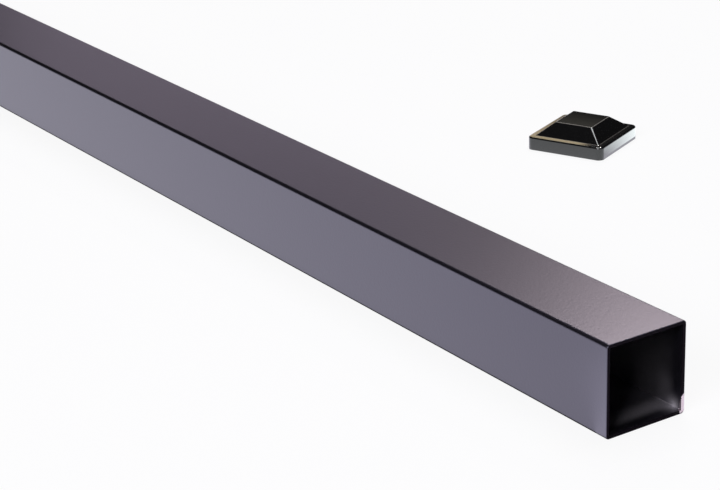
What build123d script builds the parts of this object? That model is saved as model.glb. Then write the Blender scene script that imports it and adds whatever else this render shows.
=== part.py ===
from build123d import *
import math
import os

# Fence post: a square extruded aluminium tube, lying on one of its four faces.
# The frame's origin is the centre of that face, X runs along the post, Z is up.
post_width = 50.0  # outside, face to face
post_wall = 2.0
post_length = 1800.0
post_corner_radius = 2.0  # outside corners of the extrusion
post_bore_corner_radius = 0.5  # inside corners of the extrusion
post_end_break = 0.3  # burr taken off both sawn ends, inside and outside

# Press-on cap, taken off and standing on its rim beside the post
cap_clearance = 0.25  # each side, between the post and the skirt
cap_wall = 2.25
cap_skirt_height = 8.8  # rim up to the flat ledge
cap_corner_radius = 4.0  # upright corners of the skirt
cap_top_edge_radius = 1.2  # between the skirt and the ledge
cap_ledge_width = 4.3  # flat border round the pyramid
cap_pyramid_height = 8.2  # ledge up to the flat top
cap_flat_width = 26.4  # the pyramid is cut off flat at its top
cap_ridge_radius = 0.6  # on the pyramid's ridges and round its flat top
cap_valley_radius = 0.5  # where the pyramid rises from the ledge
cap_lead_in = 0.4  # bevel inside the rim, which guides the cap onto the post
rib_radius = 0.6  # grip ribs inside the skirt
rib_proud = 0.2  # how far a rib stands into the socket
rib_spacing = 28.0  # between the two ribs of one side
rib_start = 1.2  # rim up to a rib's lower end

# Where the cap stands
cap_behind_end = 348.0  # from the post's near end, back along the post
cap_beside_axis = 248.0  # from the post's axis, sideways
cap_turn = 24.0  # degrees, about the vertical

post_bore = post_width - 2 * post_wall
near_end = post_length / 2
cap_socket = post_width + 2 * cap_clearance
cap_width = cap_socket + 2 * cap_wall
pyramid_width = cap_width - 2 * cap_ledge_width
socket_depth = cap_skirt_height - cap_wall

# The pyramid's wall is as thick as the skirt's, measured square to its slope
pyramid_slope = math.atan2(cap_pyramid_height, (pyramid_width - cap_flat_width) / 2)
pyramid_inset = cap_wall * math.tan(pyramid_slope / 2)
hollow_width = pyramid_width - 2 * pyramid_inset
hollow_flat_width = cap_flat_width - 2 * pyramid_inset

# Post tube, extruded away from its near end and sawn square at both ends
near_end_plane = Plane(
    origin=(near_end, 0, post_width / 2), x_dir=(0, 1, 0), z_dir=(-1, 0, 0)
)
with BuildPart() as post_tube:
    with BuildSketch(near_end_plane):
        RectangleRounded(post_width, post_width, post_corner_radius)
        RectangleRounded(
            post_bore, post_bore, post_bore_corner_radius, mode=Mode.SUBTRACT
        )
    extrude(amount=post_length)
    chamfer(post_tube.faces().filter_by(Axis.X).edges(), length=post_end_break)
post_tube.part.label = "post_tube"

# Post cap: outer form first, then the socket and the hollow under the pyramid
cap_plane = Plane(
    origin=(near_end - cap_behind_end, cap_beside_axis, 0),
    x_dir=(math.cos(math.radians(cap_turn)), math.sin(math.radians(cap_turn)), 0),
    z_dir=(0, 0, 1),
)
ledge_plane = cap_plane.offset(cap_skirt_height)
flat_plane = ledge_plane.offset(cap_pyramid_height)
with BuildPart() as post_cap:
    with BuildSketch(cap_plane):
        RectangleRounded(cap_width, cap_width, cap_corner_radius)
    extrude(amount=cap_skirt_height)
    fillet(post_cap.faces().sort_by(Axis.Z)[-1].edges(), cap_top_edge_radius)

    with BuildSketch(ledge_plane):
        Rectangle(pyramid_width, pyramid_width)
    with BuildSketch(flat_plane):
        Rectangle(cap_flat_width, cap_flat_width)
    loft()
    sloped_edges = post_cap.edges().filter_by(
        lambda edge: edge.bounding_box().min.Z > cap_skirt_height - cap_ridge_radius
        and edge.bounding_box().max.Z > flat_plane.origin.Z - cap_ridge_radius
    )
    fillet(sloped_edges, cap_ridge_radius)
    ledge = post_cap.faces().filter_by(Axis.Z).sort_by(Axis.Z)[-2]
    fillet(ledge.inner_wires()[0].edges(), cap_valley_radius)

    with BuildSketch(cap_plane):
        RectangleRounded(cap_socket, cap_socket, post_corner_radius)
    extrude(amount=socket_depth, mode=Mode.SUBTRACT)
    with BuildSketch(ledge_plane.offset(-cap_wall)):
        Rectangle(hollow_width, hollow_width)
    with BuildSketch(flat_plane.offset(-cap_wall)):
        Rectangle(hollow_flat_width, hollow_flat_width)
    loft(mode=Mode.SUBTRACT)
    rim = post_cap.faces().sort_by(Axis.Z)[0]
    chamfer(rim.inner_wires()[0].edges(), length=cap_lead_in)

    # Two upright grip ribs inside each side of the skirt
    with BuildSketch(cap_plane.offset(rib_start)):
        with PolarLocations(cap_socket / 2 + rib_radius - rib_proud, 4):
            with Locations((0, rib_spacing / 2), (0, -rib_spacing / 2)):
                Circle(rib_radius)
    extrude(amount=socket_depth - rib_start)
post_cap.part.label = "post_cap"

os.makedirs("parts", exist_ok=True)
export_step(post_tube.part, "parts/post_tube.step")
export_step(post_cap.part, "parts/post_cap.step")
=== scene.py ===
import math

import bmesh
import bpy
from mathutils import Matrix, Quaternion, Vector


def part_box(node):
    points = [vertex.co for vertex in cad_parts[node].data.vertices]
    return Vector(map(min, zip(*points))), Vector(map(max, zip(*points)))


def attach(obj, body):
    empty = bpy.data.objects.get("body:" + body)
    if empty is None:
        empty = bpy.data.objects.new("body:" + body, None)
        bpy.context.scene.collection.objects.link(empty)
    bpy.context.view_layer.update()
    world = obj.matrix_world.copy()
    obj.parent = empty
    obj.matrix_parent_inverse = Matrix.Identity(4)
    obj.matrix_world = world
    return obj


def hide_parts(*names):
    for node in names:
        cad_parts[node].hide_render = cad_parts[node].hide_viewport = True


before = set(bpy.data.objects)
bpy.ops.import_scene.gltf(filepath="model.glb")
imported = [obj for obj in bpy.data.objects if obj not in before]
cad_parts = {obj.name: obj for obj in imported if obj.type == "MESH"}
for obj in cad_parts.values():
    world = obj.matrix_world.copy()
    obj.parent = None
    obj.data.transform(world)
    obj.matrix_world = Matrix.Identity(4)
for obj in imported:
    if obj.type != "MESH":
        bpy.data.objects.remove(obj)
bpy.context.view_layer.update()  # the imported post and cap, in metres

mm = 0.001
samePlace = 1e-7  # metres, under which two points count as one
hair = 0.1 * mm  # slack where an edge, a face or a surface is picked by its place
print("frame loaded:", ", ".join(sorted(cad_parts)))


# Small helpers for every piece and finish

def hexColour(code):  # sRGB hex to the linear colour that a shader takes
    linear = []
    for i in (0, 2, 4):
        c = int(code[i:i + 2], 16) / 255
        linear.append(c / 12.92 if c <= 0.04045 else ((c + 0.055) / 1.055) ** 2.4)
    return (*linear, 1.0)


def addNode(tree, kind, inputs=None, **settings):  # one node, with its settings, values and links
    node = tree.nodes.new(kind)
    for name, value in settings.items():
        setattr(node, name, value)
    for name, value in (inputs or {}).items():
        if isinstance(value, bpy.types.Node):
            value = value.outputs[0]  # a node stands for its first output
        if isinstance(value, bpy.types.NodeSocket):
            tree.links.new(value, node.inputs[name])
        else:
            node.inputs[name].default_value = value
    return node


def newFinish(name):  # an empty material and its node tree
    material = bpy.data.materials.new(name)
    material.use_nodes = True
    material.node_tree.nodes.clear()
    return material, material.node_tree


# Mesh pieces, modelled about their own middle and then laid where the frame has them

def squareLoop(bm, width, radius, height, segments):  # the edges of a square with rounded corners
    grid = bmesh.ops.create_grid(
        bm, x_segments=1, y_segments=1, size=width / 2, matrix=Matrix.Translation((0, 0, height))
    )
    rounded = bmesh.ops.bevel(
        bm, geom=grid["verts"], offset=radius, offset_type="OFFSET", affect="VERTICES",
        segments=segments, profile=0.5, material=-1,
    )
    face = max(rounded["verts"][0].link_faces, key=lambda f: f.calc_area())
    edges = list(face.edges)
    bmesh.ops.delete(bm, geom=[face], context="FACES_ONLY")
    return edges


def softenEdges(bm, edges, offset, segments):
    bmesh.ops.bevel(
        bm, geom=edges, offset=offset, offset_type="OFFSET", affect="EDGES",
        segments=segments, profile=0.5, material=-1,
    )


cornerDepth = 0.3  # a rounded corner stands back by this share of its radius at most


def loopEdges(bm, width, radius, height):  # the edges of such a square that is now part of a mesh
    outer = width / 2 + hair
    inner = width / 2 - cornerDepth * radius - samePlace
    found = []
    for edge in bm.edges:
        reach = [max(abs(v.co.x), abs(v.co.y)) for v in edge.verts]
        level = all(abs(v.co.z - height) < samePlace for v in edge.verts)
        if level and inner < min(reach) and max(reach) < outer:
            found.append(edge)
    return found


def finishedPiece(bm, name, materials, matrix):  # an object at the origin, with its place in its mesh
    bmesh.ops.remove_doubles(bm, verts=bm.verts, dist=samePlace)
    bmesh.ops.recalc_face_normals(bm, faces=bm.faces)
    bmesh.ops.transform(bm, matrix=matrix, verts=bm.verts)
    openEdges = sum(1 for edge in bm.edges if len(edge.link_faces) != 2)
    mesh = bpy.data.meshes.new(name)
    bm.to_mesh(mesh)
    bm.free()
    mesh.shade_smooth()
    for material in materials:
        mesh.materials.append(material)
    piece = bpy.data.objects.new(name, mesh)
    bpy.context.scene.collection.objects.link(piece)
    flatter = piece.modifiers.new("keepFlatFacesFlat", "WEIGHTED_NORMAL")
    flatter.mode = "FACE_AREA"
    print(name, "made:", len(mesh.polygons), "faces,", openEdges, "open edges")
    return piece


# Powder coat on extruded aluminium: black polyester powder, sprayed dry and baked. It flows out to
# a satin skin with a slight orange peel, which takes a soft grey bloom from pale surroundings at a
# shallow angle and stays black on the rounded corners. Inside, the spray wraps only round the mouth,
# where some of it lies as pale unfused dust, and far in the extrusion is bare. Just inside the mouth
# a pale band and a brighter patch in its lower corner are a painted pool of light in the dust's colour.

powderCoat = {
    "name": "satinBlackPowderCoat",
    "colour": "0e0d0f",
    "roughness": 0.32,
    "ior": 1.70,
    "gloss": 0.5,  # specular level of the film
    "bloom": "cdbfff",  # a faint violet tint in the reflections, painted in for the colour of the light
    "skin": 1.0,  # the clear polyester that rises to the top of the film
    "skinRoughness": 0.28,
    "skinIor": 1.70,
    "peelMm": 2.4,  # width of one orange peel bump
    "peelHeightMm": 0.008,
    "gritMm": 1.3,  # powder grains that did not quite flow out, drawn coarse enough to show
    "gritHeightMm": 0.036,
    "waveMm": 90.0,  # flatness of the extruded wall
    "waveHeightMm": 0.04,
    "dust": "bebab9",  # thin powder with the metal showing between its grains, and the colour of the painted pool of light
    "dustRoughness": 0.6,
    "dustMm": 1.1,  # one speckle of dust
    "speckle": (0.3, 0.7),  # part of the noise that draws the speckles
    "speckleLeast": 0.7,  # cover between them
    "lightPoolFromMm": (4.0, 11.0),  # depth in the mouth over which the painted pool of light sets in
    "dustToMm": (12.0, 22.0),  # and over which it fades again
    "lightPoolLowMm": (-13.0, -3.0),  # height from the middle over which it thins out on the side walls
    "lightPoolOnWalls": (0.075, 0.005),  # below and above that height
    "lightPoolOnFloor": 0.25,  # more of it on the lower wall
    "floorMm": -22.5,  # height from the middle under which a point is on the lower wall
    "hazeMm": (5.0, 50.0),  # deeper in, a grey haze of it lies on every wall
    "haze": 0.2,  # how thick it gets
    "lightPoolPeakAt": (894.8, 23.6, 2.4),  # mm, where the painted pool of light is brightest, in the lower corner behind the chip
    "lightPoolPeakReach": (9.5, 14.0, 10.0),  # mm each way
    "lightPoolPeakFall": 3.0,  # how steeply it fades
    "lightPoolPeakFromMm": (-3.0, 4.0),  # depth over which it sets in
    "bareMm": (60.0, 170.0),  # depth over which the spray stops reaching the wall
    "metal": "a5a5a8",  # mill finish of the extrusion
    "metalRoughness": 0.38,
    "boreHalfMm": 24.0,  # midway in the wall, between inside and outside
    "chipAt": (900.0, 24.0, 2.0),  # mm, where a knock has bared the rim at the floor
    "chipReach": (1.5, 2.2, 8.0),  # mm each way
    "chipRagged": 0.9,  # how far the grains shift its edge
    "chipEdge": (1.48, 1.36),  # from film to metal across the edge
    "chipDepthMm": 0.06,  # thickness of the film that came off
    "chipMetal": ("d2b3b9", "fffafa"),  # dull and bright parts of it
}
sawnEnd = {  # the saw left these faces rough, so the coat on them is matt and has no clear skin
    **powderCoat,
    "name": "mattBlackSawnEnd",
    "colour": "120d10",
    "roughness": 0.6,
    "gloss": 0.03,
    "skin": 0.0,
}


def reachFrom(tree, place, centre, radii):  # distance from a point, 1 on an oval of these radii in mm
    scale = [1 / (r * mm) for r in radii]
    shift = [-c * mm * s for c, s in zip(centre, scale)]
    scaled = addNode(tree, "ShaderNodeMapping", {"Vector": place, "Location": shift, "Scale": scale})
    return addNode(tree, "ShaderNodeVectorMath", {0: scaled}, operation="LENGTH").outputs["Value"]


def powderCoatFinish(coat, endM, middleM):
    material, tree = newFinish(coat["name"])
    place = addNode(tree, "ShaderNodeTexCoord").outputs["Object"]

    # Skin: orange peel, grains and the slow waviness of the wall, all as heights in metres
    peel = addNode(tree, "ShaderNodeTexNoise", {
        "Vector": place, "Scale": 1 / (coat["peelMm"] * mm), "Detail": 2.0, "Roughness": 0.4})
    grit = addNode(tree, "ShaderNodeTexNoise", {
        "Vector": place, "Scale": 1 / (coat["gritMm"] * mm), "Detail": 2.0, "Roughness": 0.5})
    wave = addNode(tree, "ShaderNodeTexNoise", {
        "Vector": place, "Scale": 1 / (coat["waveMm"] * mm), "Detail": 1.0, "Roughness": 0.3})
    height = addNode(tree, "ShaderNodeMath", {0: peel, 1: coat["peelHeightMm"] * mm}, operation="MULTIPLY")
    height = addNode(tree, "ShaderNodeMath", {
        0: grit, 1: coat["gritHeightMm"] * mm, 2: height}, operation="MULTIPLY_ADD")
    height = addNode(tree, "ShaderNodeMath", {
        0: wave, 1: coat["waveHeightMm"] * mm, 2: height}, operation="MULTIPLY_ADD")

    # Inside: how deep in the tube, and whether on a bore wall
    centred = addNode(tree, "ShaderNodeMapping", {"Vector": place, "Location": (0, 0, -middleM)})
    axes = addNode(tree, "ShaderNodeSeparateXYZ", {0: centred})
    along = addNode(tree, "ShaderNodeMath", {0: axes.outputs["X"]}, operation="ABSOLUTE")
    depth = addNode(tree, "ShaderNodeMath", {0: endM, 1: along}, operation="SUBTRACT")
    across = addNode(tree, "ShaderNodeMath", {0: axes.outputs["Y"]}, operation="ABSOLUTE")
    upright = addNode(tree, "ShaderNodeMath", {0: axes.outputs["Z"]}, operation="ABSOLUTE")
    reach = addNode(tree, "ShaderNodeMath", {0: across, 1: upright}, operation="MAXIMUM")
    inBore = addNode(tree, "ShaderNodeMath", {0: reach, 1: coat["boreHalfMm"] * mm}, operation="LESS_THAN")
    speckle = addNode(tree, "ShaderNodeTexNoise", {
        "Vector": place, "Scale": 1 / (coat["dustMm"] * mm), "Detail": 3.0, "Roughness": 0.65})
    cover = addNode(tree, "ShaderNodeMapRange", {
        "Value": speckle, "From Min": coat["speckle"][0], "From Max": coat["speckle"][1],
        "To Min": coat["speckleLeast"]})
    cover = addNode(tree, "ShaderNodeMath", {0: cover, 1: inBore}, operation="MULTIPLY")
    # Painted pool of light just inside the mouth: a pale band in the dust's colour, fuller on the lower
    # wall
    begins, fades = [
        addNode(tree, "ShaderNodeMapRange", {
            "Value": depth, "From Min": near * mm, "From Max": far * mm}, interpolation_type="SMOOTHSTEP")
        for near, far in (coat["lightPoolFromMm"], coat["dustToMm"])
    ]
    lightPoolBand = addNode(tree, "ShaderNodeMath", {0: begins, 1: fades}, operation="SUBTRACT")
    poolByHeight = addNode(tree, "ShaderNodeMapRange", {
        "Value": axes.outputs["Z"],
        "From Min": coat["lightPoolLowMm"][0] * mm, "From Max": coat["lightPoolLowMm"][1] * mm,
        "To Min": coat["lightPoolOnWalls"][0], "To Max": coat["lightPoolOnWalls"][1]},
        interpolation_type="SMOOTHSTEP")
    onFloor = addNode(tree, "ShaderNodeMath", {
        0: axes.outputs["Z"], 1: coat["floorMm"] * mm}, operation="LESS_THAN")
    poolByHeight = addNode(tree, "ShaderNodeMath", {
        0: onFloor, 1: coat["lightPoolOnFloor"], 2: poolByHeight}, operation="MULTIPLY_ADD")
    lightPoolBand = addNode(tree, "ShaderNodeMath", {0: lightPoolBand, 1: poolByHeight}, operation="MULTIPLY")
    # and a brighter painted patch of that light in the lower corner
    poolPeak = reachFrom(tree, place, coat["lightPoolPeakAt"], coat["lightPoolPeakReach"])
    poolPeak = addNode(tree, "ShaderNodeMath", {0: 1.0, 1: poolPeak}, operation="SUBTRACT", use_clamp=True)
    poolPeak = addNode(tree, "ShaderNodeMath", {0: poolPeak, 1: coat["lightPoolPeakFall"]}, operation="POWER")
    inward = addNode(tree, "ShaderNodeMapRange", {
        "Value": depth, "From Min": coat["lightPoolPeakFromMm"][0] * mm, "From Max": coat["lightPoolPeakFromMm"][1] * mm},
        interpolation_type="SMOOTHSTEP")
    poolPeak = addNode(tree, "ShaderNodeMath", {0: poolPeak, 1: inward}, operation="MULTIPLY")
    haze = addNode(tree, "ShaderNodeMapRange", {
        "Value": depth, "From Min": coat["hazeMm"][0] * mm, "From Max": coat["hazeMm"][1] * mm,
        "To Max": coat["haze"]})
    dustAndPool = addNode(tree, "ShaderNodeMath", {0: lightPoolBand, 1: haze}, operation="ADD")
    dustAndPool = addNode(tree, "ShaderNodeMath", {0: dustAndPool, 1: poolPeak}, operation="ADD", use_clamp=True)
    dustAndPool = addNode(tree, "ShaderNodeMath", {0: dustAndPool, 1: cover}, operation="MULTIPLY")
    bare = addNode(tree, "ShaderNodeMapRange", {
        "Value": depth, "From Min": coat["bareMm"][0] * mm, "From Max": coat["bareMm"][1] * mm},
        interpolation_type="SMOOTHSTEP")
    bare = addNode(tree, "ShaderNodeMath", {0: bare, 1: inBore}, operation="MULTIPLY")

    # Chip: an uneven oval of bare metal over the lower corner of the rim
    spot = reachFrom(tree, place, coat["chipAt"], coat["chipReach"])
    spot = addNode(tree, "ShaderNodeMath", {
        0: grit, 1: coat["chipRagged"], 2: spot}, operation="MULTIPLY_ADD")
    chip = addNode(tree, "ShaderNodeMapRange", {
        "Value": spot, "From Min": coat["chipEdge"][0], "From Max": coat["chipEdge"][1]})
    height = addNode(tree, "ShaderNodeMath", {
        0: chip, 1: -coat["chipDepthMm"] * mm, 2: height}, operation="MULTIPLY_ADD")

    # Colours and finish: film, dust and the painted pool of light over it, bare metal deep inside,
    # and the chip's metal
    dull, bright = [hexColour(code) for code in coat["chipMetal"]]
    bared = addNode(tree, "ShaderNodeMix", {0: speckle, 6: dull, 7: bright}, data_type="RGBA").outputs[2]
    colour = hexColour(coat["colour"])
    layers = ((dustAndPool, hexColour(coat["dust"])), (bare, hexColour(coat["metal"])), (chip, bared))
    for share, layer in layers:
        colour = addNode(tree, "ShaderNodeMix", {
            0: share, 6: colour, 7: layer}, data_type="RGBA").outputs[2]
    metallic = addNode(tree, "ShaderNodeMath", {0: bare, 1: chip}, operation="MAXIMUM")
    roughness = addNode(tree, "ShaderNodeMix", {0: dustAndPool, 2: coat["roughness"], 3: coat["dustRoughness"]})
    roughness = addNode(tree, "ShaderNodeMix", {0: metallic, 2: roughness, 3: coat["metalRoughness"]})
    bump = addNode(tree, "ShaderNodeBump", {"Height": height, "Strength": 1.0, "Distance": 1.0})
    shader = addNode(tree, "ShaderNodeBsdfPrincipled", {
        "Base Color": colour,
        "Metallic": metallic,
        "Roughness": roughness,
        "IOR": coat["ior"],
        "Specular IOR Level": coat["gloss"],
        "Specular Tint": hexColour(coat["bloom"]),
        "Coat Weight": coat["skin"],
        "Coat Roughness": coat["skinRoughness"],
        "Coat IOR": coat["skinIor"],
        "Normal": bump,
        "Coat Normal": bump,
    })
    addNode(tree, "ShaderNodeOutputMaterial", {"Surface": shader})
    return material


postShape = {
    "wallMm": 2.0,
    "cornerMm": 2.0,
    "boreCornerMm": 0.5,
    "endBreakMm": 0.3,  # the burr filed off the sawn ends
    "cornerSegments": 8,
    "endBreakSegments": 3,
}


def makePost(shape, finishes):
    low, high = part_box("post_tube")
    middle = (low + high) / 2
    length, width = high.x - low.x, high.y - low.y
    half = length / 2
    bore = width - 2 * shape["wallMm"] * mm
    corner, boreCorner = shape["cornerMm"] * mm, shape["boreCornerMm"] * mm
    bm = bmesh.new()
    outside = squareLoop(bm, width, corner, -half, shape["cornerSegments"])
    inside = squareLoop(bm, bore, boreCorner, -half, shape["cornerSegments"])
    bmesh.ops.bridge_loops(bm, edges=outside + inside)
    pulled = bmesh.ops.extrude_face_region(bm, geom=list(bm.faces))["geom"]
    pulledVerts = [g for g in pulled if isinstance(g, bmesh.types.BMVert)]
    bmesh.ops.translate(bm, vec=(0, 0, length), verts=pulledVerts)
    rims = []
    for end in (-half, half):
        rims += loopEdges(bm, bore, boreCorner, end)
        rims += loopEdges(bm, width, corner, end)
    softenEdges(bm, rims, shape["endBreakMm"] * mm, shape["endBreakSegments"])
    bmesh.ops.recalc_face_normals(bm, faces=bm.faces)
    for face in bm.faces:  # the sawn faces and their inner edges, not the outer edges
        centre = face.calc_center_median()
        atEnd = abs(centre.z) > half - shape["endBreakMm"] * mm
        face.material_index = int(atEnd and face.normal.xy.dot(centre.xy) < hair)
    lay = Matrix.Translation(middle) @ Matrix.Rotation(math.radians(90), 4, "Y")
    materials = [powderCoatFinish(finish, half, middle.z) for finish in finishes]
    return finishedPiece(bm, "post", materials, lay)


post = makePost(postShape, (powderCoat, sawnEnd))
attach(post, "root")
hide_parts("post_tube")


# Gloss black ABS, injection moulded in a polished steel tool, then lacquered: deep black with sharp
# reflections. The ledge has fine square ridges with a painted beige highlight in them, the flat has
# faint streaks under a painted olive reflection, and painted pale highlights run along the edges of
# the flat and of the pyramid's foot.

capPlastic = {
    "colour": "101010",
    "roughness": 0.14,
    "ior": 1.54,
    "bloom": "f3ffe7",
    "lacquer": 1.0,
    "lacquerRoughness": 0.08,
    "ridgeMm": 1.3,  # pitch of the ridges on the ledge
    "ridgeHeightMm": 0.03,
    "haze": "5c5b50",  # painted olive reflection on the flat, stronger towards its front edge
    "flatSheenFromTo": (1.0, 0.1),  # at the front and at the back
    "ledgeSheen": "d3c08f",  # painted beige highlight that the ridges catch
    "ledgeSheenLevel": (-0.2, -0.9),  # where it sets in and is full, on a ridge's wave from 1 to -1
    "ledgeSheenLeast": 0.6,  # share of it that stays on the ridges' tops
    "ledgeSheenToMm": (8.0, 20.0),  # it fades out towards one side, where the ledge is left dark
    "ledgeSheenBackMm": (-20.0, 24.0),  # and towards the back
    "ledgeSheenBack": 0.45,  # share of it left there
    "ledgeSheenRoughness": 0.5,
    # painted pale highlights along the edges of the flat and of the pyramid's foot
    "edgeHighlight": "8d8a80",
    "edgeHighlightMm": (0.35, 0.175),  # from the edge, where the painted highlight sets in and is full, wide enough to show
    "edgeHighlightFlat": 0.9,  # how much round the flat, and at the pyramid's foot
    "edgeHighlightFoot": 0.35,
    "streakMm": 0.9,  # width of a polishing streak, drawn coarse enough to show
    "streakStretch": 0.06,  # so each streak is long along the front
    "streakHeightMm": 0.008,
    "sinkMm": 14.0,  # slow hollows where the plastic shrank as it cooled
    "sinkHeightMm": 0.03,
}


def capPlasticFinish(plastic, centre, turn, pyramidHalf, flatHalf, ledgeHeight):
    material, tree = newFinish("glossBlackAbs")
    place = addNode(tree, "ShaderNodeTexCoord").outputs["Object"]
    own = addNode(tree, "ShaderNodeMapping", {
        "Vector": place, "Location": centre, "Rotation": (0, 0, turn)}, vector_type="TEXTURE")
    axes = addNode(tree, "ShaderNodeSeparateXYZ", {0: own})
    across = addNode(tree, "ShaderNodeMath", {0: axes.outputs["X"]}, operation="ABSOLUTE")
    beside = addNode(tree, "ShaderNodeMath", {0: axes.outputs["Y"]}, operation="ABSOLUTE")
    reach = addNode(tree, "ShaderNodeMath", {0: across, 1: beside}, operation="MAXIMUM")
    phase = addNode(tree, "ShaderNodeMath", {
        0: reach, 1: math.tau / (plastic["ridgeMm"] * mm)}, operation="MULTIPLY")
    ridges = addNode(tree, "ShaderNodeMath", {0: phase}, operation="SINE")
    ledge = addNode(tree, "ShaderNodeMath", {0: reach, 1: pyramidHalf}, operation="GREATER_THAN")
    level = addNode(tree, "ShaderNodeMath", {
        0: axes.outputs["Z"], 1: ledgeHeight - hair}, operation="GREATER_THAN")
    ledge = addNode(tree, "ShaderNodeMath", {0: ledge, 1: level}, operation="MULTIPLY")
    ridges = addNode(tree, "ShaderNodeMath", {0: ridges, 1: ledge}, operation="MULTIPLY")
    flat = addNode(tree, "ShaderNodeMath", {0: reach, 1: flatHalf}, operation="LESS_THAN")
    drawn = addNode(tree, "ShaderNodeMapping", {"Vector": own, "Scale": (plastic["streakStretch"], 1, 1)})
    streaks = addNode(tree, "ShaderNodeTexNoise", {
        "Vector": drawn, "Scale": 1 / (plastic["streakMm"] * mm), "Detail": 3.0, "Roughness": 0.6})
    streaks = addNode(tree, "ShaderNodeMath", {0: streaks, 1: flat}, operation="MULTIPLY")

    # Colours: painted olive reflection on the flat, painted highlight on the ledge's ridges, and painted
    # highlights along two edges
    # A painted olive reflection on the flat, stronger at its front edge and broken by the streaks
    flatSheen = addNode(tree, "ShaderNodeMapRange", {
        "Value": axes.outputs["Y"], "From Min": -flatHalf, "From Max": flatHalf,
        "To Min": plastic["flatSheenFromTo"][0], "To Max": plastic["flatSheenFromTo"][1]})
    flatSheen = addNode(tree, "ShaderNodeMath", {0: flatSheen, 1: streaks}, operation="MULTIPLY", use_clamp=True)
    # A painted beige highlight on the ledge's ridges, fading towards one side and towards the back
    groove = addNode(tree, "ShaderNodeMapRange", {
        "Value": ridges, "From Min": plastic["ledgeSheenLevel"][0], "From Max": plastic["ledgeSheenLevel"][1],
        "To Min": plastic["ledgeSheenLeast"]})
    left = addNode(tree, "ShaderNodeMapRange", {
        "Value": axes.outputs["X"],
        "From Min": plastic["ledgeSheenToMm"][1] * mm, "From Max": plastic["ledgeSheenToMm"][0] * mm},
        interpolation_type="SMOOTHSTEP")
    sheenOnLedge = addNode(tree, "ShaderNodeMath", {0: groove, 1: left}, operation="MULTIPLY")
    back = addNode(tree, "ShaderNodeMapRange", {
        "Value": axes.outputs["Y"],
        "From Min": plastic["ledgeSheenBackMm"][0] * mm, "From Max": plastic["ledgeSheenBackMm"][1] * mm,
        "To Min": 1.0, "To Max": plastic["ledgeSheenBack"]})
    sheenOnLedge = addNode(tree, "ShaderNodeMath", {0: sheenOnLedge, 1: back}, operation="MULTIPLY")
    sheenOnLedge = addNode(tree, "ShaderNodeMath", {0: sheenOnLedge, 1: ledge}, operation="MULTIPLY")
    # Painted pale highlights along the flat's edge and the pyramid's foot
    edgeHighlights = 0.0
    for edge, share in ((flatHalf, plastic["edgeHighlightFlat"]), (pyramidHalf, plastic["edgeHighlightFoot"])):
        away = addNode(tree, "ShaderNodeMath", {0: reach, 1: edge}, operation="SUBTRACT")
        away = addNode(tree, "ShaderNodeMath", {0: away}, operation="ABSOLUTE")
        line = addNode(tree, "ShaderNodeMapRange", {
            "Value": away, "From Min": plastic["edgeHighlightMm"][0] * mm, "From Max": plastic["edgeHighlightMm"][1] * mm,
            "To Max": share})
        edgeHighlights = addNode(tree, "ShaderNodeMath", {0: line, 1: edgeHighlights}, operation="MAXIMUM")
    colour = hexColour(plastic["colour"])
    for share, layer in ((flatSheen, "haze"), (sheenOnLedge, "ledgeSheen"), (edgeHighlights, "edgeHighlight")):
        colour = addNode(tree, "ShaderNodeMix", {
            0: share, 6: colour, 7: hexColour(plastic[layer])}, data_type="RGBA").outputs[2]
    roughness = addNode(tree, "ShaderNodeMix", {
        0: sheenOnLedge, 2: plastic["roughness"], 3: plastic["ledgeSheenRoughness"]})

    # Relief: the slow hollows, the ledge's ridges and the flat's streaks
    sink = addNode(tree, "ShaderNodeTexNoise", {
        "Vector": own, "Scale": 1 / (plastic["sinkMm"] * mm), "Detail": 1.0, "Roughness": 0.4})
    height = addNode(tree, "ShaderNodeMath", {
        0: sink, 1: plastic["sinkHeightMm"] * mm}, operation="MULTIPLY")
    height = addNode(tree, "ShaderNodeMath", {
        0: ridges, 1: plastic["ridgeHeightMm"] * mm, 2: height}, operation="MULTIPLY_ADD")
    height = addNode(tree, "ShaderNodeMath", {
        0: streaks, 1: plastic["streakHeightMm"] * mm, 2: height}, operation="MULTIPLY_ADD")
    bump = addNode(tree, "ShaderNodeBump", {"Height": height, "Strength": 1.0, "Distance": 1.0})
    shader = addNode(tree, "ShaderNodeBsdfPrincipled", {
        "Base Color": colour,
        "Roughness": roughness,
        "IOR": plastic["ior"],
        "Specular Tint": hexColour(plastic["bloom"]),
        "Coat Weight": plastic["lacquer"],
        "Coat Roughness": plastic["lacquerRoughness"],
        "Coat IOR": plastic["ior"],
        "Normal": bump,
        "Coat Normal": bump,
    })
    addNode(tree, "ShaderNodeOutputMaterial", {"Surface": shader})
    return material


capShape = {
    "turnDegrees": 24.0,
    "wallMm": 2.25,
    "skirtHeightMm": 8.8,
    "skirtCornerMm": 4.0,
    "topEdge": (1.2, 6),  # radius in mm and segments, of this edge and the two like it below
    "ledgeMm": 4.3,  # width of the flat border round the pyramid
    "footCornerMm": 0.9,
    "footValley": (0.5, 3),
    "flatMm": 26.4,
    "flatCornerMm": 0.9,
    "flatEdge": (0.5, 4),
    "socketMm": 50.5,
    "socketCornerMm": 2.0,
    "leadInMm": 0.4,
    "hollowCornerMm": 0.5,
    "cornerSegments": 8,
    "ribSegments": 16,
    "ribMm": 0.6,  # radius of a grip rib
    "ribProudMm": 0.2,
    "ribStartMm": 1.2,
    "ribApartMm": 28.0,
}


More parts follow.
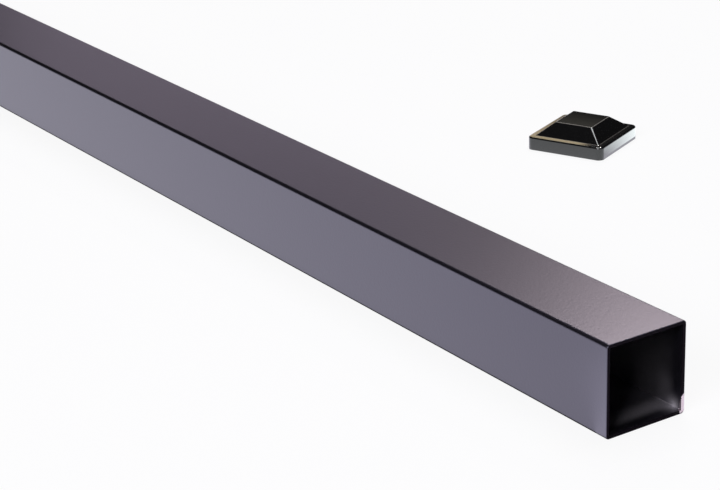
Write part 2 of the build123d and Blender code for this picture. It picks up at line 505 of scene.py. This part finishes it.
def makeCap(shape, finish):
    low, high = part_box("post_cap")
    top = high.z - low.z
    turn = math.radians(shape["turnDegrees"])
    skirt = shape["socketMm"] + 2 * shape["wallMm"]
    foot = skirt - 2 * shape["ledgeMm"]  # where the pyramid rises from its ledge
    depth = shape["skirtHeightMm"] - shape["wallMm"]
    slope = math.atan2(top / mm - shape["skirtHeightMm"], (foot - shape["flatMm"]) / 2)
    inset = 2 * shape["wallMm"] * math.tan(slope / 2)  # so the pyramid's wall is as thick as the skirt's
    bm = bmesh.new()
    sections = [  # width, corner and height, from the hollow's top out over the rim and up to the flat
        (shape["flatMm"] - inset, shape["hollowCornerMm"], top / mm - shape["wallMm"]),
        (foot - inset, shape["hollowCornerMm"], depth),
        (shape["socketMm"], shape["socketCornerMm"], depth),
        (shape["socketMm"], shape["socketCornerMm"], shape["leadInMm"]),
        (shape["socketMm"] + 2 * shape["leadInMm"], shape["socketCornerMm"] + shape["leadInMm"], 0.0),
        (skirt, shape["skirtCornerMm"], 0.0),
        (skirt, shape["skirtCornerMm"], shape["skirtHeightMm"]),
        (foot, shape["footCornerMm"], shape["skirtHeightMm"]),
        (shape["flatMm"], shape["flatCornerMm"], top / mm),
    ]
    loops = [squareLoop(bm, w * mm, c * mm, h * mm, shape["cornerSegments"]) for w, c, h in sections]
    steps = sorted(range(len(loops) - 1), key=lambda i: abs(sections[i][2] - sections[i + 1][2]))
    for i in steps:  # level rings first, because one that joins a loop with a wall on it can twist
        bmesh.ops.bridge_loops(bm, edges=loops[i] + loops[i + 1])
    bmesh.ops.contextual_create(bm, geom=loops[0])
    bmesh.ops.contextual_create(bm, geom=loops[-1])
    rounds = (shape["topEdge"], shape["footValley"], shape["flatEdge"])
    for (width, corner, height), (radius, segments) in zip(sections[-3:], rounds):
        edges = loopEdges(bm, width * mm, corner * mm, height * mm)
        softenEdges(bm, edges, radius * mm, segments)

    # Two upright grip ribs on each inside wall, sunk in it so that only a sliver stands proud
    ribHeight = (depth - shape["ribStartMm"]) * mm
    ribReach = (shape["socketMm"] / 2 + shape["ribMm"] - shape["ribProudMm"]) * mm
    for side in range(4):
        for along in (-shape["ribApartMm"] / 2, shape["ribApartMm"] / 2):
            spot = Vector((ribReach, along * mm, shape["ribStartMm"] * mm + ribHeight / 2))
            bmesh.ops.create_cone(
                bm, cap_ends=True, segments=shape["ribSegments"],
                radius1=shape["ribMm"] * mm, radius2=shape["ribMm"] * mm, depth=ribHeight,
                matrix=Matrix.Rotation(math.radians(90 * side), 4, "Z") @ Matrix.Translation(spot),
            )
    centre = Vector(((low.x + high.x) / 2, (low.y + high.y) / 2, low.z))
    material = capPlasticFinish(
        finish, centre, turn, foot / 2 * mm, shape["flatMm"] / 2 * mm, shape["skirtHeightMm"] * mm)
    return finishedPiece(bm, "cap", [material], Matrix.Translation(centre) @ Matrix.Rotation(turn, 4, "Z"))


cap = makeCap(capShape, capPlastic)
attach(cap, "root")
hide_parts("post_cap")


# Stage: a white floor that keeps a soft shadow, and shows white where the coat and cap mirror it

stageShape = {
    "floorM": 60.0,  # half its width
    "floorBelowMm": 0.2,  # so that it touches neither the post nor the cap
    "floorColour": "f4f4f4",
    "mirroredColour": "f4f2ff",  # a cool white, as the coat and cap mirror it
    "whiteNear": 0.90,  # share of plain white in what the camera sees near the post
    "whiteFar": 1.0,
    "nearM": 1.2,  # from the post's middle, where that share begins to rise
    "farM": 4.0,
    "contactMm": (0.7, 1.7),  # beyond the post's sides, where the mirrored white sets in
}


def makeFloor(stage):
    low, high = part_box("post_tube")
    material, tree = newFinish("paleFloor")
    place = addNode(tree, "ShaderNodeTexCoord").outputs["Object"]
    away = addNode(tree, "ShaderNodeVectorMath", {0: place}, operation="LENGTH").outputs["Value"]
    fade = addNode(tree, "ShaderNodeMapRange", {
        "Value": away, "From Min": stage["nearM"], "From Max": stage["farM"],
        "To Min": stage["whiteNear"], "To Max": stage["whiteFar"]}, interpolation_type="SMOOTHSTEP")
    rays = addNode(tree, "ShaderNodeLightPath")
    seen = addNode(tree, "ShaderNodeMath", {
        0: rays.outputs["Is Camera Ray"], 1: fade}, operation="MULTIPLY")
    mirrored = addNode(tree, "ShaderNodeMath", {
        0: rays.outputs["Is Glossy Ray"], 1: rays.outputs["Is Transmission Ray"]}, operation="MAXIMUM")

    # Under the post no light reaches the floor, which darkens the coat's lowest edge
    axes = addNode(tree, "ShaderNodeSeparateXYZ", {0: place})
    outside = []
    for axis, half in (("X", (high.x - low.x) / 2), ("Y", (high.y - low.y) / 2)):
        size = addNode(tree, "ShaderNodeMath", {0: axes.outputs[axis]}, operation="ABSOLUTE")
        outside.append(addNode(tree, "ShaderNodeMath", {0: size, 1: half}, operation="SUBTRACT"))
    beyond = addNode(tree, "ShaderNodeMath", {0: outside[0], 1: outside[1]}, operation="MAXIMUM")
    lit = addNode(tree, "ShaderNodeMapRange", {
        "Value": beyond, "From Min": stage["contactMm"][0] * mm, "From Max": stage["contactMm"][1] * mm})
    strength = addNode(tree, "ShaderNodeMath", {
        0: lit, 1: rays.outputs["Is Camera Ray"]}, operation="MAXIMUM")
    share = addNode(tree, "ShaderNodeMath", {0: seen, 1: mirrored}, operation="MAXIMUM")
    tint = addNode(tree, "ShaderNodeMix", {
        0: mirrored, 6: (1, 1, 1, 1), 7: hexColour(stage["mirroredColour"])}, data_type="RGBA").outputs[2]
    plain = addNode(tree, "ShaderNodeBsdfDiffuse", {"Color": hexColour(stage["floorColour"])})
    white = addNode(tree, "ShaderNodeEmission", {"Color": tint, "Strength": strength})
    mix = addNode(tree, "ShaderNodeMixShader", {0: share, 1: plain, 2: white})
    addNode(tree, "ShaderNodeOutputMaterial", {"Surface": mix})
    bm = bmesh.new()
    bmesh.ops.create_grid(bm, x_segments=1, y_segments=1, size=stage["floorM"])
    mesh = bpy.data.meshes.new("floor")
    bm.to_mesh(mesh)
    bm.free()
    mesh.materials.append(material)
    floor = bpy.data.objects.new("floor", mesh)
    floor.location.z = -stage["floorBelowMm"] * mm
    bpy.context.scene.collection.objects.link(floor)


makeFloor(stageShape)


lamps = {  # soft boxes, with places and aims in metres
    "overhead": {
        "at": (0.3, 0.7, 2.2), "aim": (0.5, 0.0, 0.0), "size": (1.6, 1.2),
        "watts": 31.0, "colour": "f6f4ff"},
    "front": {
        "at": (1.6, -1.9, 1.3), "aim": (0.6, 0.0, 0.02), "size": (1.4, 1.0),
        "watts": 48.0, "colour": "f3f1ff"},
    "farBack": {  # this one and the next are mirrored in the top face, which shades it along the post
        "at": (-2.874, 1.951, 1.141), "aim": (0.5, 0.0, 0.03), "size": (1.2, 0.6),
        "watts": 1.62, "colour": "f6e6fc"},
    "nearBack": {
        "at": (-1.232, 1.998, 2.0), "aim": (0.88, 0.0, 0.04), "size": (0.26, 0.15),
        "watts": 11.3, "colour": "fff1f0"},
    "capSide": {  # a narrow strip on the floor, brighter towards the back, mirrored in the cap's side
        "at": (0.5774, 0.2757, 0.001), "aim": (0.6688, 0.3164, 1.0), "size": (0.07, 0.014),
        "watts": 0.0099, "colour": "f6ffff", "graded": (1.0, 0.0)},
    "lowNear": {  # small and close to the floor, mirrored in the last of the front face
        "at": (0.878, -0.0765, 0.004), "aim": (0.871, -0.0685, 0.1), "size": (0.1, 0.06),
        "watts": 0.008, "colour": "f2f0ff"},
}


def makeLamps(lamps):
    for name, box in lamps.items():
        light = bpy.data.lights.new(name, "AREA")
        light.shape = "RECTANGLE"
        light.size, light.size_y = box["size"]
        light.energy = box["watts"]
        light.color = hexColour(box["colour"])[:3]
        if "graded" in box:  # its share of light from one end to the other
            light.use_nodes = True
            tree = light.node_tree
            tree.nodes.clear()
            across = addNode(tree, "ShaderNodeNewGeometry").outputs["Parametric"]
            axes = addNode(tree, "ShaderNodeSeparateXYZ", {0: across})
            share = addNode(tree, "ShaderNodeMapRange", {
                "Value": axes.outputs["X"], "To Min": box["graded"][0], "To Max": box["graded"][1]})
            glow = addNode(tree, "ShaderNodeEmission", {"Strength": share})
            addNode(tree, "ShaderNodeOutputLight", {"Surface": glow})
        lamp = bpy.data.objects.new(name, light)
        lamp.location = box["at"]
        lamp.rotation_euler = (Vector(box["aim"]) - lamp.location).to_track_quat("-Z", "Y").to_euler()
        lamp.visible_camera = False
        bpy.context.scene.collection.objects.link(lamp)


makeLamps(lamps)


sky = {
    "fill": 0.01,  # all round, so low that the rounded corners of the coat stay dark
}


def makeSky(sky):
    world = bpy.data.worlds.new("paleStudio")
    world.use_nodes = True
    tree = world.node_tree
    tree.nodes.clear()
    rays = addNode(tree, "ShaderNodeLightPath")
    strength = addNode(tree, "ShaderNodeMath", {
        0: rays.outputs["Is Camera Ray"], 1: sky["fill"]}, operation="MAXIMUM")
    background = addNode(tree, "ShaderNodeBackground", {"Color": (1, 1, 1, 1), "Strength": strength})
    addNode(tree, "ShaderNodeOutputWorld", {"Surface": background})
    bpy.context.scene.world = world


makeSky(sky)


cameraView = {  # solved from the post's edges in the photo
    "lookAt": (0.66634, -0.00859, 0.025),
    "azimuth": 56.56,  # degrees from straight in front, toward the near end
    "elevation": 21.45,
    "distance": 1.2239,
    "roll": -1.885,
    "lens": 108.519,
    "sensorMm": 36.0,
    "clipM": (0.05, 200.0),
}


def makeCamera(view):
    camera = bpy.data.cameras.new("camera")
    camera.lens = view["lens"]
    camera.sensor_width = view["sensorMm"]
    camera.clip_start, camera.clip_end = view["clipM"]
    turn, rise = math.radians(view["azimuth"]), math.radians(view["elevation"])
    back = Vector((math.sin(turn) * math.cos(rise), -math.cos(turn) * math.cos(rise), math.sin(rise)))
    rig = bpy.data.objects.new("camera", camera)
    rig.location = Vector(view["lookAt"]) + back * view["distance"]
    rig.rotation_mode = "QUATERNION"
    roll = Quaternion((0, 0, 1), math.radians(view["roll"]))
    rig.rotation_quaternion = (-back).to_track_quat("-Z", "Y") @ roll
    bpy.context.scene.collection.objects.link(rig)
    bpy.context.scene.camera = rig


makeCamera(cameraView)
bpy.context.scene.view_settings.view_transform = "Standard"
print("stage, lamps and camera made")
